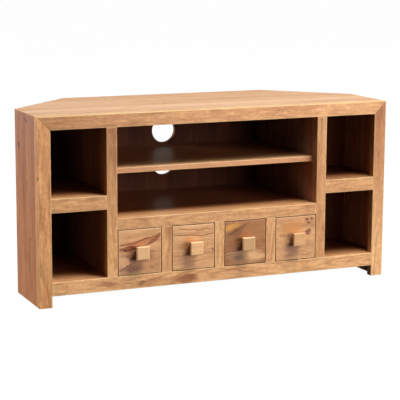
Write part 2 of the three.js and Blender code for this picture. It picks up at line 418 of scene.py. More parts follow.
class MarkKind(Enum):
    """The marks on a board: what nature left in it, and painted shadows."""

    # patches are stains, and also the painted shadows of the knobs
    PATCH = "a soft-edged stain"
    KNOT = "a dark knot with rings round it"
    LINE = "a thin dark line that may bend"


@dataclass(frozen=True)
class Mark:
    """One mark on a board.

    Its place from the board's centre and its reach are millimetres along the grain and across it. Turn is
    degrees, bend is how fast it curves away, per metre, and ragged and soft shape its outline.
    """

    kind: MarkKind
    at: tuple[float, float]
    reach: tuple[float, float]
    colour: Colour
    strength: float = 0.7
    turn: float = 0.0
    bend: float = 0.0
    ragged: float = 1.1
    soft: float = 0.65

    OUTLINE: ClassVar[float] = 1.1
    RINGS: ClassVar[float] = 17.0
    RING_STRENGTH: ClassVar[float] = 0.6

    def mask(self, along: Signal, across: Signal, cloud: Signal) -> Signal:
        """How much of the mark's colour a point takes.

        Args:
            along: place along the grain from the board's centre, in metres.
            across: place across the grain, in metres.
            cloud: noise that roughens the mark's outline.

        Returns:
            A number from 0 to 1.
        """
        angle = math.radians(self.turn)
        x, y = along - self.at[0] * MM, across - self.at[1] * MM
        u = x * math.cos(angle) + y * math.sin(angle)
        v = y * math.cos(angle) - x * math.sin(angle)
        if self.bend:
            v = v - u * u * self.bend
        u, v = u / (self.reach[0] * MM), v / (self.reach[1] * MM)
        uneven = (cloud - 0.5) * self.ragged
        far = (u * u + v * v) ** 0.5 + uneven
        if self.kind is MarkKind.PATCH:
            return far.rise(self.OUTLINE, self.OUTLINE - self.soft) * self.strength
        if self.kind is MarkKind.LINE:
            return (v + uneven).size().rise(1.0, 0.3) * u.size().rise(1.0, 0.8) * self.strength
        rings = (far * self.RINGS).wave() * far.rise(1.0, 0.5) * self.RING_STRENGTH
        return rings.at_least(far.rise(0.5, 0.3)) * self.strength


@dataclass(frozen=True)
class Pattern:
    """The layers of grain that a board's colour, gloss and relief are made from."""

    place: Tint
    bent: Tint
    body: Signal
    rings: Signal
    bands: Signal
    mottle: Signal
    flecks: Signal
    fibre: Signal
    gate: Signal

    WAVER: ClassVar[float] = 0.05
    THROUGH: ClassVar[float] = 0.7
    RING_COUNT: ClassVar[float] = 88.0
    RING_SHARPNESS: ClassVar[float] = 2.2

    @classmethod
    def over(cls, sheet: Sheet, place: Tint) -> "Pattern":
        """Lays the grain over a board.

        Args:
            sheet: the material's nodes.
            place: the point in the grain, in metres.

        Returns:
            The pattern.
        """
        waver = (sheet.noise(place, Layer.WOBBLE) - 0.5) * cls.WAVER
        bent = place + sheet.point(0.0, waver, waver * cls.THROUGH)
        growth = sheet.noise(bent, Layer.RINGS, 1.2, 0.4)
        return cls(
            place=place,
            bent=bent,
            body=sheet.noise(bent, Layer.BODY, 3.0, 0.55),
            rings=(growth * cls.RING_COUNT).wave() ** cls.RING_SHARPNESS,
            bands=sheet.noise(bent, Layer.BANDS, 4.0, 0.62),
            mottle=sheet.noise(bent, Layer.MOTTLE, 3.0, 0.65),
            flecks=sheet.noise(place, Layer.FLECKS, 2.0, 0.6),
            fibre=sheet.noise(place, Layer.FIBRE, 2.0, 0.6),
            gate=sheet.noise(place, Layer.GATE, 1.0),
        )


@dataclass(frozen=True)
class WoodFinish:
    """How one kind of wood in the cabinet looks.

    The base goes from pale to brown, with streaks in a third colour. A stave is the width of the boards that
    a panel is glued up from, in metres, or 0 for one board. Faces that look into the cabinet get painted
    shade, which darkens them over a depth from a place in y to the inside colour. The arrises are lightened,
    partly as worn edges and partly as a painted highlight, and faces that look up can get a painted
    highlight.
    """

    name: str
    pale: Colour
    brown: Colour
    streak: Colour
    stave: float = 0.0
    stave_contrast: float = 0.5
    figure: float = 1.0
    streaks: float = 0.6
    pins: float = 1.0
    specks: float = 0.0
    mottling: float = 0.55
    shine: float = 0.22
    # how much the arrises are lightened: partly worn edges, partly a painted highlight
    wear_and_highlight: float = 0.5
    roughness: float = 0.5
    coat: float = 0.12
    # painted shade on faces that look into the cabinet: the depth it darkens over, where it starts in y, and
    # the colour the wood is multiplied by at full depth
    shade_depth: float = 0.11
    shade_from: float = -0.195
    inside: Colour = (0.40, 0.26, 0.18)
    # how strongly faces that look up get a painted highlight
    up_highlight: float = 0.0
    marks: tuple[Mark, ...] = ()

    REDDENED: ClassVar[Colour] = (0.46, 0.355, 0.32)
    BODY_SHARE: ClassVar[float] = 0.75
    RING_SHARE: ClassVar[float] = 0.22
    FIBRE_DARK: ClassVar[float] = 0.34
    FLECK_DARK: ClassVar[float] = 0.6
    LIFT: ClassVar[float] = 1.30
    TONE_DARK: ClassVar[float] = 0.35
    PIN_DARK: ClassVar[float] = 0.3
    PORE_DARK: ClassVar[float] = 0.42
    JOINT_DARK: ClassVar[float] = 0.35
    END_DARK: ClassVar[float] = 0.62
    END_SHARE: ClassVar[float] = 0.75
    # how far from an arris the worn edge and its painted highlight reach
    RUB_HIGHLIGHT_REACH: ClassVar[float] = 3.2 * MM
    STRAY_ALONG: ClassVar[float] = 34 * MM
    STRAY_ACROSS: ClassVar[float] = 28 * MM
    RELIEF: ClassVar[float] = 0.35 * MM
    COAT_ROUGHNESS: ClassVar[float] = 0.24

    def material(self) -> bpy.types.Material:
        """Builds the finish as a material.

        Returns:
            The material.
        """
        sheet = Sheet(self.name)
        at, half = sheet.attribute(AT_NAME), sheet.attribute(HALF_NAME)
        seed, dress = sheet.attribute(SEED_NAME), sheet.attribute(DRESS_NAME)
        end = sheet.number(END_NAME)
        tone, redness, slope = dress.parts()
        along, across, _ = at.parts()
        tone = tone + slope * (along / half.parts()[0])
        place, stave_tone, joint = self._staves(sheet, at, seed, across)
        grain = Pattern.over(sheet, place)
        pores = self._pores(sheet, grain)

        wood = self._base(sheet, grain, stave_tone * self.stave_contrast, tone)
        wood = wood * sheet.point(1.0, 1.0 - redness * 0.5, 1.0 - redness)
        wood = self._marked(sheet, wood, grain, at + seed, (along, across))
        wood = wood.blend(shifted(self.streak, self.PIN_DARK), self._all_pins(sheet, grain))
        wood = wood * (1.0 - pores * self.PORE_DARK) * (1.0 - joint * self.JOINT_DARK)
        wood = wood.blend(shifted(self.brown, self.END_DARK), end * self.END_SHARE)
        # painted highlight on faces that look up, then painted shade on faces that look into the cabinet
        wood = self._up_highlighted(sheet, wood, grain) * self._interior_shade(sheet)
        # lighter arrises: partly worn edges, partly a painted highlight along them
        rub_and_highlight = self._edge(at, half).rise(self.RUB_HIGHLIGHT_REACH, 0.0002) * (grain.gate * 0.8 + 0.45) * self.wear_and_highlight
        wood = wood.blend(shifted(self.pale, 1.12, 0.05), rub_and_highlight.at_most(1.0) * (1.0 - end * 0.6))

        rough = self.roughness + (grain.fibre - 0.5) * 0.16 + pores * 0.2 - rub_and_highlight * 0.08 + end * 0.12
        height = grain.fibre * 0.35 + grain.rings * 0.12 * self.figure - pores * 0.6 - joint * 0.4
        sheet.gloss(self.coat, self.COAT_ROUGHNESS, self.shine)
        return sheet.finish(wood, rough, height, self.RELIEF)

    def _base(self, sheet: Sheet, grain: Pattern, stave_tone: Signal, tone: Signal) -> Tint:
        """The plain wood, with its rings, streaks and fibres.

        Args:
            sheet: the material's nodes.
            grain: the layers of grain.
            stave_tone: how much browner this stave is.
            tone: how much browner and darker the board is here.

        Returns:
            The wood's colour.
        """
        share = (grain.body.rise(0.34, 0.70) * self.BODY_SHARE + stave_tone + tone).share()
        wood = sheet.flat(self.pale).blend(self.brown, share)
        rings = grain.rings * (self.RING_SHARE * self.figure) * grain.gate.rise(0.3, 0.65)
        wood = wood.blend(self.streak, rings)
        wood = wood.blend(self.streak, grain.bands.rise(0.50, 0.76) * self.streaks)
        dark = (
            (1.0 - grain.fibre) * self.FIBRE_DARK
            + (1.0 - grain.mottle) * self.mottling
            + (1.0 - grain.flecks) * self.mottling * self.FLECK_DARK
        )
        wood = wood * self.LIFT * sheet.flat(WHITE).blend(self.REDDENED, dark)
        return wood * (1.0 - tone * self.TONE_DARK)

    def _marked(self, sheet: Sheet, wood: Tint, grain: Pattern, spot: Tint,
                place: tuple[Signal, Signal]) -> Tint:
        """Lays the board's marks, natural ones and painted shadows, over its wood.

        Args:
            sheet: the material's nodes.
            wood: the wood's colour.
            grain: the layers of grain.
            spot: the point that the marks' outlines are roughened by.
            place: the point along and across the board, from its centre.

        Returns:
            The colour with the marks on it.
        """
        if not self.marks:
            return wood
        cloud = sheet.noise(spot, Layer.OUTLINE, 4.0, 0.68)
        through = (grain.bands * 1.2 + grain.mottle - 0.2).share()
        stray = sheet.clouds(spot, Layer.STRAY)
        along = place[0] + (stray[0] - 0.5) * self.STRAY_ALONG
        across = place[1] + (stray[1] - 0.5) * self.STRAY_ACROSS
        for mark in self.marks:
            wood = wood.blend(mark.colour, mark.mask(along, across, cloud) * through)
        return wood

    def _up_highlighted(self, sheet: Sheet, wood: Tint, grain: Pattern) -> Tint:
        """Paints a highlight on the faces that look up, where the finish says so.

        Args:
            sheet: the material's nodes.
            wood: the wood's colour.
            grain: the layers of grain.

        Returns:
            The new colour.
        """
        if not self.up_highlight:
            return wood
        up = sheet.tint("ShaderNodeNewGeometry", {}, {}, output="Normal").parts()[2].rise(0.6, 0.9)
        return wood.blend(shifted(self.pale, 1.15, 0.04), up * self.up_highlight * (grain.mottle + 0.3))

    def _interior_shade(self, sheet: Sheet) -> Tint:
        """Paints shade on faces inside the cabinet, darker the deeper they lie.

        Args:
            sheet: the material's nodes.

        Returns:
            The colour that the wood is multiplied by.
        """
        place = sheet.tint("ShaderNodeTexCoord", {}, {}, output="Object")
        depth = (place.parts()[1] - self.shade_from).rise(0.0, self.shade_depth) * sheet.number(INSIDE_NAME)
        return sheet.flat(WHITE).blend(self.inside, depth)

    def _staves(self, sheet: Sheet, at: Tint, seed: Tint,
                across: Signal) -> tuple[Tint, Signal, Signal | float]:
        """Parts a panel into staves.

        Args:
            sheet: the material's nodes.
            at: the point on the board.
            seed: the board's random numbers.
            across: the point across the grain.

        Returns:
            The point in the grain, the tone of the stave, and the glue line between staves.
        """
        start = at + seed * 3.0
        offset, _, chance = seed.parts()
        if not self.stave:
            return start, (chance - 0.5) * 0.5, 0.0
        uneven = (across * 21.0 + offset * 9.0).sine() * 0.22
        count = across / self.stave + offset * 5.0 + uneven
        row = count.whole()
        pick = sheet.raw("ShaderNodeTexWhiteNoise", {"noise_dimensions": "1D"}, {"W": row + offset * 31.0})
        shift = Tint(sheet, pick.outputs["Color"])
        line = (count - row - 0.5).size().rise(0.484, 0.5)
        return start + shift * 2.0, Signal(sheet, pick.outputs["Value"]) - 0.5, line

    def _pores(self, sheet: Sheet, grain: Pattern) -> Signal:
        """Short dark pores along the grain."""
        near, _ = sheet.cells(grain.place, Layer.PORES)
        return near.rise(0.34, 0.16) * grain.gate.rise(0.42, 0.62)

    def _all_pins(self, sheet: Sheet, grain: Pattern) -> Signal:
        """The pin knots, and finer specks where the finish has them.

        Args:
            sheet: the material's nodes.
            grain: the layers of grain.

        Returns:
            A number from 0 to 1.
        """
        pins = self._pins(sheet, grain.bent, Layer.PIN_KNOTS, 0.80) * self.pins
        if self.specks:
            specks = self._pins(sheet, grain.bent, Layer.SPECKS, 0.74) * self.specks
            pins = pins.at_least(specks * grain.gate.rise(0.4, 0.6))
        return pins

    @staticmethod
    def _pins(sheet: Sheet, place: Tint, layer: Layer, rarity: float) -> Signal:
        """Small dark spots, here and there.

        Args:
            sheet: the material's nodes.
            place: the point in the grain.
            layer: how large and how close they are.
            rarity: the share of places that stay empty.

        Returns:
            A number from 0 to 1.
        """
        near, chance = sheet.cells(place, layer)
        return near.rise(0.085, 0.04) * chance.parts()[0].rise(rarity, rarity + 0.04)

    @staticmethod
    def _edge(at: Tint, half: Tint) -> Signal:
        """The nearest arris of a square-cut board.

        Args:
            at: the point on the board.
            half: half the board's sizes.

        Returns:
            The distance to it, in metres.
        """
        gaps = [h - p.size() for h, p in zip(half.parts(), at.parts())]
        low, high = gaps[0].at_most(gaps[1]), gaps[0].at_least(gaps[1])
        return low.at_least(high.at_most(gaps[2]))


@dataclass(frozen=True)
class SteelFinish:
    """Zinc-plated screws."""

    name: str
    zinc: Colour = (0.50, 0.50, 0.52)
    warm: Colour = (0.66, 0.64, 0.58)
    relief: float = 0.04 * MM

    def material(self) -> bpy.types.Material:
        """Builds the finish as a material.

        Returns:
            The material.
        """
        sheet = Sheet(self.name)
        place = sheet.attribute(AT_NAME) + sheet.attribute(SEED_NAME)
        smear = sheet.noise(place, Layer.SMEAR, 3.0)
        turned = sheet.noise(place, Layer.TURNING)
        grey = sheet.flat(self.zinc).blend(self.warm, smear.rise(0.35, 0.7))
        made = sheet.finish(grey * (turned * 0.3 + 0.85), smear * 0.25 + 0.22, turned, self.relief)
        sheet.shader.inputs["Metallic"].default_value = 1.0
        return made


class Grain(Enum):
    """Which way a board's fibres run."""

    X = 0
    Y = 1
    Z = 2


class Neighbours:
    """Where each board of the frame meets another."""

    REACH = 0.6 * MM
    PLACES = (0.12, 0.37, 0.63, 0.88)

    def __init__(self, nodes: dict[str, bpy.types.Object]) -> None:
        """Gathers all boards into one search tree.

        Args:
            nodes: the CAD nodes by name.
        """
        points: list[Vector] = []
        faces: list[list[int]] = []
        self.owners: list[str] = []
        for name, node in nodes.items():
            start = len(points)
            points += [v.co.copy() for v in node.data.vertices]
            for face in node.data.polygons:
                faces.append([start + i for i in face.vertices])
                self.owners.append(name)
        self.tree = BVHTree.FromPolygons(points, faces)

    def open_share(self, edge: bmesh.types.BMEdge, name: str) -> float:
        """How much of an edge is free of other boards.

        Args:
            edge: the edge.
            name: the board it belongs to.

        Returns:
            A share from 0 to 1.
        """
        start, end = (v.co for v in edge.verts)
        free = 0
        for share in self.PLACES:
            found = self.tree.find_nearest_range(start.lerp(end, share), self.REACH)
            free += not any(self.owners[hit[2]] != name for hit in found)
        return free / len(self.PLACES)


@dataclass(frozen=True)
class Interior:
    """The room inside the carcass, in metres, with its two cut corners at the back."""

    half_width: float = 0.58
    corner_reach: float = 0.585
    front: float = -0.212
    back: float = 0.232
    floor: float = 0.04
    ceiling: float = 0.567

    def holds(self, spot: Vector) -> bool:
        """Whether a point lies in this room.

        Args:
            spot: the point.

        Returns:
            True where it does.
        """
        aside = abs(spot.x)
        return (
            aside < self.half_width
            and aside + spot.y < self.corner_reach
            and self.front < spot.y < self.back
            and self.floor < spot.z < self.ceiling
        )


@dataclass
class Board:
    """One board, cut like its CAD node, with eased arrises and its own place in the grain.

    Turn is the bearing in degrees of an upright board that stands askew. Tone, redness and slope dress it:
    browner, redder, and browner towards one end. Ease and seam are the widths of its free arrises and of the
    edges at its joints.
    """

    node: str
    grain: Grain
    material: bpy.types.Material
    slot: str
    body: str
    turn: float = 0.0
    tone: float = 0.0
    redness: float = 0.0
    slope: float = 0.0
    ease: float = 1.3 * MM
    seam: float = 0.25 * MM
    interior: Interior = Interior()

    WELD: ClassVar[float] = 0.01 * MM
    FLAT: ClassVar[float] = 1.0
    ARRIS: ClassVar[float] = 20.0
    SQUARE: ClassVar[float] = 50.0
    FREE: ClassVar[float] = 0.4
    ROUNDS: ClassVar[int] = 3
    END: ClassVar[float] = 0.8
    LOOK: ClassVar[float] = 6 * MM

    def build(self, neighbours: Neighbours) -> bpy.types.Object:
        """Makes the board and lets it stand for its CAD node.

        Args:
            neighbours: where boards meet.

        Returns:
            The board's object.
        """
        shape = bmesh.new()
        shape.from_mesh(frame["nodes"][self.node].data)
        bmesh.ops.remove_doubles(shape, verts=shape.verts, dist=self.WELD)
        bmesh.ops.dissolve_limit(
            shape, angle_limit=math.radians(self.FLAT), verts=shape.verts, edges=shape.edges
        )
        arrises = [
            e for e in self._sharp(shape, self.ARRIS) if neighbours.open_share(e, self.node) > self.FREE
        ]
        if arrises:
            self._bevel(shape, arrises, self.ease, self.ROUNDS)
        seams = self._sharp(shape, self.SQUARE)
        if seams:
            self._bevel(shape, seams, self.seam, 1)
        bmesh.ops.recalc_face_normals(shape, faces=shape.faces)
        mesh = bpy.data.meshes.new(self.node + "_board")
        shape.to_mesh(mesh)
        shape.free()
        mesh.materials.append(self.material)
        self._carry(mesh)
        piece = bpy.data.objects.new(self.node + "_board", mesh)
        bpy.context.scene.collection.objects.link(piece)
        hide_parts(self.node)
        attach(piece, self.body)
        return piece

    @staticmethod
    def _sharp(shape: bmesh.types.BMesh, least: float) -> list[bmesh.types.BMEdge]:
        """Finds a shape's sharp edges.

        Args:
            shape: the shape.
            least: the turn that an edge has to pass, in degrees.

        Returns:
            The edges.
        """
        return [
            e for e in shape.edges
            if len(e.link_faces) == 2 and e.calc_face_angle(0.0) > math.radians(least)
        ]

    @staticmethod
    def _bevel(shape: bmesh.types.BMesh, edges: Iterable[bmesh.types.BMEdge], width: float,
               rounds: int) -> None:
        """Eases edges.

        Args:
            shape: the shape.
            edges: its edges to ease.
            width: how far the ease reaches from an edge.
            rounds: its facets, shaded smooth where there are more than one.
        """
        made = bmesh.ops.bevel(
            shape, geom=list(edges), offset=width, offset_type="OFFSET", segments=rounds,
            profile=0.5, affect="EDGES", clamp_overlap=True, material=-1,
        )
        for face in made["faces"]:
            face.smooth = rounds > 1

    def axes(self) -> np.ndarray:
        """The board's own directions.

        Returns:
            A row each: along the grain, across it, through the board.
        """
        low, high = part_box(self.node)
        order = sorted({0, 1, 2} - {self.grain.value}, key=lambda axis: low[axis] - high[axis])
        rows = np.eye(3)[[self.grain.value, *order]]
        if self.turn:
            angle = math.radians(self.turn)
            across = np.array([math.cos(angle), math.sin(angle), 0.0])
            rows = np.array([[0.0, 0.0, 1.0], across, [-across[1], across[0], 0.0]])
        return rows

    def _carry(self, mesh: bpy.types.Mesh) -> None:
        """Writes on the mesh what its finish reads: places, half sizes, seed, dress, end grain, painted-shade
        flag.

        Args:
            mesh: the board's mesh.
        """
        rows = self.axes()
        points = np.array([v.co for v in mesh.vertices]) @ rows.T
        low, high = points.min(0), points.max(0)
        chance = random.Random(self.node)
        seed = [chance.random() for _ in range(3)]
        count = len(points)
        vectors = {
            AT_NAME: points - (low + high) / 2,
            HALF_NAME: np.tile((high - low) / 2, (count, 1)),
            SEED_NAME: np.tile(seed, (count, 1)),
            DRESS_NAME: np.tile([self.tone, self.redness, self.slope], (count, 1)),
        }
        for name, values in vectors.items():
            made = mesh.attributes.new(name, "FLOAT_VECTOR", "POINT")
            made.data.foreach_set("vector", values.astype(np.float32).ravel())
        for name, test in ((END_NAME, self._is_end), (INSIDE_NAME, self._is_inside)):
            made = mesh.attributes.new(name, "FLOAT", "CORNER")
            for face in mesh.polygons:
                value = float(test(face, rows[0]))
                for loop in face.loop_indices:
                    made.data[loop].value = value

    def _is_end(self, face: bpy.types.MeshPolygon, along: np.ndarray) -> bool:
        """Whether a face cuts the fibres."""
        return abs(float(np.dot(along, face.normal))) > self.END

    def _is_inside(self, face: bpy.types.MeshPolygon, along: np.ndarray) -> bool:
        """Whether a carcass face looks into the cabinet and gets painted shade, whichever way the fibres run.
        """
        return self.body == "root" and self.interior.holds(face.center + face.normal * self.LOOK)


@dataclass
class Workshop:
    """What every sub-assembly needs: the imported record's slots and bodies, the joints and the finishes."""

    neighbours: Neighbours
    slots: dict[str, str]
    bodies: dict[str, str]
    finishes: dict[str, bpy.types.Material]

    @classmethod
    def open(cls, finishes: Iterable[WoodFinish | SteelFinish]) -> "Workshop":
        """Reads the record and builds the finishes.

        Args:
            finishes: every finish of the cabinet.

        Returns:
            The workshop, ready to cut boards.
        """
        record = frame["record"]
        slots = {part["node"]: part["material_slot"] for part in record["subparts"]}
        bodies = {n: body for body, nodes in record["behaviour"]["bodies"].items() for n in nodes}
        return cls(Neighbours(frame["nodes"]), slots, bodies, {f.name: f.material() for f in finishes})

    def board(self, node: str, grain: Grain, finish: str = "", **dress: float) -> bpy.types.Object:
        """Builds one board.

        Args:
            node: the CAD node it stands for.
            grain: which way its fibres run.
            finish: the finish, or nothing for the one named like its slot.
            **dress: any of Board's other fields.

        Returns:
            The board's object.
        """
        slot = self.slots[node]
        made = Board(node, grain, self.finishes[finish or slot], slot, self.bodies[node], **dress)
        piece = made.build(self.neighbours)
        log.info("%s: %d faces, %s", piece.name, len(piece.data.polygons), made.material.name)
        return piece


@dataclass
class Carcass:
    """The frame, panels, shelves, backs and the rails that the drawers run on."""

    wall_angle: float = 45.0
    mitre: float = 1.0 * MM
    gaps: tuple[int, ...] = (1, 2, 3)

    def build(self, shop: Workshop) -> None:
        """Builds all boards of the carcass.

        Args:
            shop: where boards are cut.
        """
        self._face_frame(shop)
        self._panels(shop)
        self._backs(shop)
        self._runners(shop)

    def _face_frame(self, shop: Workshop) -> None:
        """Cuts the stiles and rails seen from the front.

        Args:
            shop: where boards are cut.
        """
        shop.board("front_top_rail", Grain.X, "top_rail_wood",
                   tone=-0.12, slope=-0.27, redness=-0.03, seam=self.mitre)
        shop.board("left_stile", Grain.Z, tone=-0.14, slope=-0.06, redness=0.17, seam=self.mitre)
        shop.board("right_stile", Grain.Z, tone=-0.2, slope=0.56, redness=-0.1, seam=self.mitre)
        shop.board("front_bottom_rail", Grain.X, "bottom_rail_wood", tone=-0.4, slope=0.04, redness=-0.03)
        shop.board("deck_rail", Grain.X, tone=-0.2, redness=-0.08)
        shop.board("left_divider_stile", Grain.Z, tone=0.10, slope=0.52, redness=0.05)
        shop.board("right_divider_stile", Grain.Z, tone=-0.02, slope=0.2)
        shop.board("left_shelf_rail", Grain.X, tone=-0.05, redness=0.02)
        shop.board("right_shelf_rail", Grain.X, "right_rail_wood", tone=-0.2, redness=-0.06)
        for number in self.gaps:
            shop.board(f"drawer_mullion_{number}", Grain.Z, tone=-0.12 * (number % 2) - 0.1)

    def _panels(self, shop: Workshop) -> None:
        """Cuts the glued-up panels and the shelves.

        Args:
            shop: where boards are cut.
        """
        shop.board("top_panel", Grain.X, tone=0.09, slope=0.05)
        # the right shelf's higher tone darkens it as painted shade of the right bays
        for side, outside, tone in (("left", "left_panel_wood", 0.45), ("right", "", 0.85)):
            shop.board(f"{side}_side_panel", Grain.Z, outside, slope=0.2, redness=0.08)
            shop.board(f"{side}_divider_panel", Grain.Z)
            shop.board(f"{side}_shelf", Grain.X, "shelf_wood", tone=tone)
        shop.board("bottom_panel", Grain.X, "shelf_wood", tone=0.25, slope=0.35)
        shop.board("centre_deck", Grain.X, "shelf_wood")
        shop.board("middle_shelf", Grain.X, "middle_shelf_wood", tone=0.16, redness=0.12)

    def _backs(self, shop: Workshop) -> None:
        """Cuts the back, the two angled backs and the rear feet.

        Args:
            shop: where boards are cut.
        """
        shop.board("back_panel", Grain.Z)
        shop.board("right_angled_back", Grain.Z, "angled_back_wood", turn=180.0 - self.wall_angle)
        shop.board("left_angled_back", Grain.Z, "angled_back_wood", turn=self.wall_angle)
        shop.board("right_rear_foot", Grain.Z)
        shop.board("left_rear_foot", Grain.Z)

    def _runners(self, shop: Workshop) -> None:
        """Cuts the guides and the stop rail under the deck.

        Args:
            shop: where boards are cut.
        """
        for number in self.gaps:
            shop.board(f"drawer_guide_{number}", Grain.Y)
        shop.board("drawer_stop_rail", Grain.X)


@dataclass
class Drawer:
    """One drawer: a figured front, a plain box, and a square knob on a screw."""

    number: int
    knob_grain: Grain
    knob_tone: float = 0.0
    knob_ease: float = 0.8 * MM
    screw_ease: float = 0.3 * MM

    def build(self, shop: Workshop) -> None:
        """Builds the drawer's pieces.

        Args:
            shop: where boards are cut.
        """
        name = f"drawer_{self.number}"
        shop.board(f"{name}_front", Grain.X, f"drawer_front_{self.number}")
        shop.board(f"{name}_right_side", Grain.Y)
        shop.board(f"{name}_left_side", Grain.Y)
        shop.board(f"{name}_back", Grain.X)
        shop.board(f"{name}_floor", Grain.X)
        shop.board(f"{name}_knob", self.knob_grain, tone=self.knob_tone, ease=self.knob_ease)
        shop.board(f"{name}_knob_screw", Grain.Y, ease=self.screw_ease)


@dataclass(frozen=True)
class SoftLight:
    """A softbox that faces the cabinet.

    Its bearing and height are degrees from the front and above the floor, and its sizes are metres. Its level
    is the brightness that it gives a white card held square to it at the cabinet.
    """

    name: str
    bearing: float
    height: float
    distance: float
    wide: float
    tall: float
    level: float
    colour: Colour = WHITE

    def build(self, target: Vector) -> None:
        """Hangs the light.

        Args:
            target: the point it faces.
        """
        lamp = bpy.data.lights.new(self.name, "AREA")
        lamp.shape = "RECTANGLE"
        lamp.size, lamp.size_y = self.wide, self.tall
        lamp.energy = self.level * (math.pi * self.distance) ** 2
        lamp.color = self.colour
        turn, rise = math.radians(self.bearing), math.radians(self.height)
        away = Vector((math.sin(turn) * math.cos(rise), -math.cos(turn) * math.cos(rise), math.sin(rise)))
        holder = bpy.data.objects.new(self.name, lamp)
        bpy.context.scene.collection.objects.link(holder)
        holder.location = target + away * self.distance
        holder.rotation_mode = "QUATERNION"
        holder.rotation_quaternion = (-away).to_track_quat("-Z", "Y")
        holder.visible_camera = False


def studio_lights() -> tuple[SoftLight, ...]:
    """The softboxes: one over the front, one from each side and two behind.

    Returns:
        The lights.
    """
    return (
        SoftLight("overhead_softbox", bearing=32.0, height=64.0, distance=3.6, wide=1.3, tall=1.3,
                  level=1.06),
        SoftLight("front_softbox", bearing=29.0, height=7.0, distance=4.6, wide=4.0, tall=1.4, level=0.76),
        SoftLight("left_softbox", bearing=-97.0, height=14.0, distance=6.0, wide=2.0, tall=2.0, level=0.50),
        SoftLight("rear_softbox", bearing=213.0, height=12.0, distance=6.0, wide=2.4, tall=2.0, level=0.50),
        SoftLight("rear_panel", bearing=156.0, height=11.0, distance=6.0, wide=2.8, tall=2.0, level=0.010,
                  colour=(1.0, 0.86, 0.72)),
        SoftLight("right_softbox", bearing=118.0, height=12.0, distance=6.0, wide=2.0, tall=2.0, level=0.36),
    )


@dataclass
class Studio:
    """A plain pale room with soft light from above, and the camera.

    The camera's bearing, dip and roll are degrees, and its lens is millimetres.
    """

    camera_at: Colour = (-1.8588, -4.3002, 1.1158)
    bearing: float = 23.674
    dip: float = 10.348
    roll: float = -0.269
    lens: float = 129.49
    film: float = 36.0
    sight: tuple[float, float] = (0.05, 200.0)
    aim: Colour = (0.0, 0.0, 0.35)
    lights: Sequence[SoftLight] = field(default_factory=studio_lights)
    ambient: float = 0.05
    floor_reach: float = 60.0
    floor_drop: float = 0.5 * MM
    floor_glow: float = 0.985
    dome_reach: float = 50.0
    dome_glow: float = 1.02
    grey: Colour = (0.06, 0.06, 0.06)
    roughness: float = 0.9

    def build(self) -> None:
        """Builds room, lights and camera."""
        for light in self.lights:
            light.build(Vector(self.aim))
        self._surroundings()
        self._camera()

    def _surroundings(self) -> None:
        """Floor, white dome and a low even light."""
        scene = bpy.context.scene
        scene.view_settings.view_transform = "Standard"
        world = bpy.data.worlds.new("room")
        scene.world = world
        world.use_nodes = True
        ground = world.node_tree.nodes["Background"]
        ground.inputs["Color"].default_value = (*WHITE, 1.0)
        ground.inputs["Strength"].default_value = self.ambient
        floor, dome = bmesh.new(), bmesh.new()
        bmesh.ops.create_grid(floor, x_segments=2, y_segments=2, size=self.floor_reach)
        bmesh.ops.create_icosphere(dome, subdivisions=3, radius=self.dome_reach)
        bmesh.ops.translate(floor, verts=floor.verts, vec=(0.0, 0.0, -self.floor_drop))
        self._glowing("floor", floor, self.floor_glow)
        self._glowing("backdrop", dome, self.dome_glow).visible_shadow = False

    def _glowing(self, name: str, shape: bmesh.types.BMesh, glow: float) -> bpy.types.Object:
        """Makes a piece of the room, white by its own glow, that lights nothing.

        Args:
            name: the piece's name.
            shape: its shape, which is used up.
            glow: how bright it is.

        Returns:
            The piece's object.
        """
        sheet = Sheet(name + "_white")
        sheet.finish(self.grey, self.roughness, None, 0.0)
        sheet.shader.inputs["Specular IOR Level"].default_value = 0.0
        sheet.shader.inputs["Emission Color"].default_value = (*WHITE, 1.0)
        sheet.shader.inputs["Emission Strength"].default_value = glow
        mesh = bpy.data.meshes.new(name)
        shape.to_mesh(mesh)
        shape.free()
        mesh.materials.append(sheet.material)
        piece = bpy.data.objects.new(name, mesh)
        bpy.context.scene.collection.objects.link(piece)
        piece.visible_diffuse = piece.visible_glossy = False
        return piece

    def _camera(self) -> None:
        """The camera, at standing height to the left of the front."""
        turn, dip, roll = (math.radians(a) for a in (self.bearing, self.dip, self.roll))
        ahead = Vector((math.sin(turn) * math.cos(dip), math.cos(turn) * math.cos(dip), -math.sin(dip)))
        level = Vector((math.cos(turn), -math.sin(turn), 0.0))
        plumb = level.cross(ahead)
        right = level * math.cos(roll) - plumb * math.sin(roll)
        up = level * math.sin(roll) + plumb * math.cos(roll)
        data = bpy.data.cameras.new("camera")
        data.lens, data.sensor_width = self.lens, self.film
        data.clip_start, data.clip_end = self.sight
        holder = bpy.data.objects.new("camera", data)
        bpy.context.scene.collection.objects.link(holder)
        turned = Matrix((right, up, -ahead)).transposed().to_4x4()
        holder.matrix_world = Matrix.Translation(Vector(self.camera_at)) @ turned
        bpy.context.scene.camera = holder


